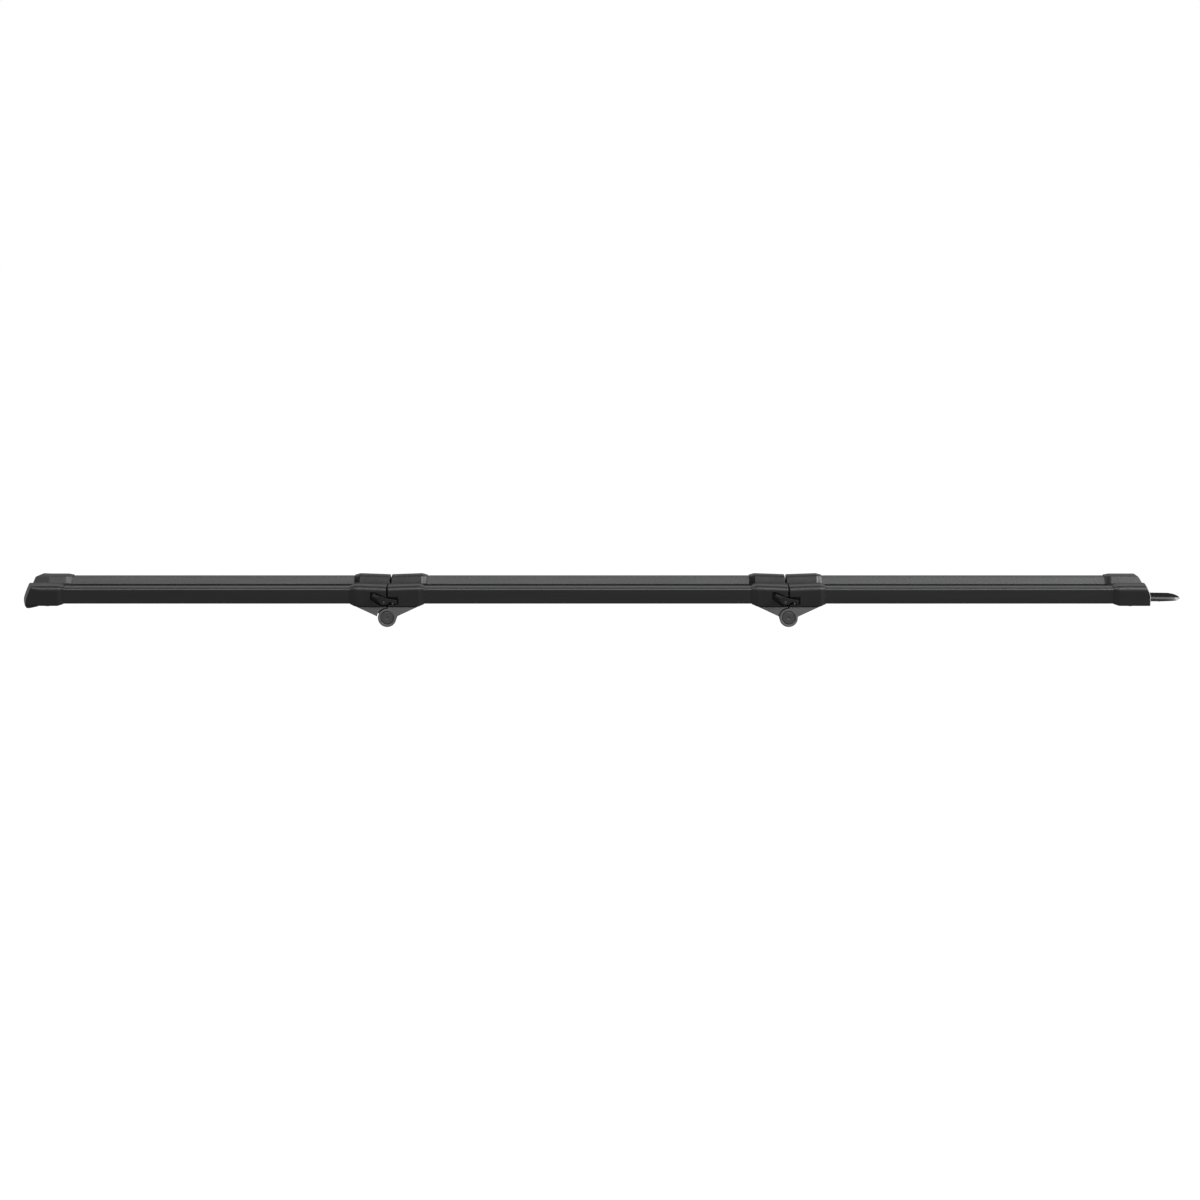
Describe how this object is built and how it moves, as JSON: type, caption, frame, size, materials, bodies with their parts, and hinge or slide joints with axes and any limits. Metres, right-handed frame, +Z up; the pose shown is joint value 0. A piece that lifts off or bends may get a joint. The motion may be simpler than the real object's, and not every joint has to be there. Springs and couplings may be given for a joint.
{
  "type": "folding loading ramp",
  "caption": "Narrow three-section folding loading ramp with a wheel channel, latched hinge joints, a ground nose and a hook tongue.",
  "frame": {"origin": "under the middle of the bounding box, on the plane that the two hinge barrels rest on", "axes": "+X along the ramp towards the hook tongue, +Y across it away from the latch tabs, +Z up"},
  "size_m": [1.5166, 0.126, 0.0544],
  "materials": {
    "black_anodised": "satin black anodised extrusion",
    "black_moulding": "satin black glass-filled moulding",
    "black_casting": "coarse black powder coat on a casting",
    "coated_steel": "satin black coated steel plate",
    "dark_steel": "blackened steel",
    "spring_steel": "bright spring wire",
    "rubber": "matt moulded rubber",
    "grit_strip": "mineral grit on a dark film",
    "nylon": "natural nylon"
  },
  "bodies": {
    "middle_section": {"grip_strip_middle": "grit_strip", "left_hinge_pin": "dark_steel", "left_hinge_pin_cap": "black_moulding", "left_joint_right_bracket": "black_casting", "left_joint_right_bracket_screw_1": "dark_steel", "left_joint_right_bracket_screw_2": "dark_steel", "left_joint_right_bracket_screw_3": "dark_steel", "left_joint_right_housing": "black_moulding", "left_latch_keeper": "dark_steel", "rail_middle": "black_anodised", "right_hinge_bush_far": "nylon", "right_hinge_bush_near": "nylon", "right_joint_left_bracket": "black_casting", "right_joint_left_bracket_screw_1": "dark_steel", "right_joint_left_bracket_screw_2": "dark_steel", "right_joint_left_bracket_screw_3": "dark_steel", "right_joint_left_housing": "black_moulding", "right_latch_pivot": "dark_steel", "right_latch_spring": "spring_steel"},
    "left_section": {"grip_strip_left": "grit_strip", "left_hinge_bush_far": "nylon", "left_hinge_bush_near": "nylon", "left_joint_left_bracket": "black_casting", "left_joint_left_bracket_screw_1": "dark_steel", "left_joint_left_bracket_screw_2": "dark_steel", "left_joint_left_bracket_screw_3": "dark_steel", "left_joint_left_housing": "black_moulding", "left_latch_pivot": "dark_steel", "left_latch_spring": "spring_steel", "nose_cap": "black_moulding", "nose_cap_screw_far": "dark_steel", "nose_cap_screw_near": "dark_steel", "nose_ground_pad": "rubber", "rail_left": "black_anodised"},
    "right_section": {"end_cap": "black_moulding", "end_cap_screw_far": "dark_steel", "end_cap_screw_near": "dark_steel", "grip_strip_right": "grit_strip", "hook_tongue": "coated_steel", "rail_right": "black_anodised", "right_hinge_pin": "dark_steel", "right_hinge_pin_cap": "black_moulding", "right_joint_right_bracket": "black_casting", "right_joint_right_bracket_screw_1": "dark_steel", "right_joint_right_bracket_screw_2": "dark_steel", "right_joint_right_bracket_screw_3": "dark_steel", "right_joint_right_housing": "black_moulding", "right_latch_keeper": "dark_steel", "tongue_button_far": "rubber", "tongue_button_near": "rubber", "tongue_rivet_far": "dark_steel", "tongue_rivet_near": "dark_steel"},
    "left_latch": {"left_latch_lever": "black_casting"},
    "right_latch": {"right_latch_lever": "black_casting"}
  },
  "joints": [
    {"name": "left_fold", "type": "hinge", "parent": "middle_section", "child": "left_section", "pos_m": [-0.2798, 0.006, 0.012], "axis": [0, -1, 0], "range_deg": [0, 180]},
    {"name": "right_fold", "type": "hinge", "parent": "middle_section", "child": "right_section", "pos_m": [0.2427, 0.006, 0.012], "axis": [0, 1, 0], "range_deg": [0, 150]},
    {"name": "left_latch_press", "type": "hinge", "parent": "left_section", "child": "left_latch", "pos_m": [-0.2841, 0.006, 0.0326], "axis": [0, -1, 0], "range_deg": [0, 12], "stiffness_Nm_per_rad": 0.25, "springref_deg": -20.05},
    {"name": "right_latch_press", "type": "hinge", "parent": "middle_section", "child": "right_latch", "pos_m": [0.2384, 0.006, 0.0326], "axis": [0, -1, 0], "range_deg": [0, 12], "stiffness_Nm_per_rad": 0.25, "springref_deg": -20.05}
  ]
}
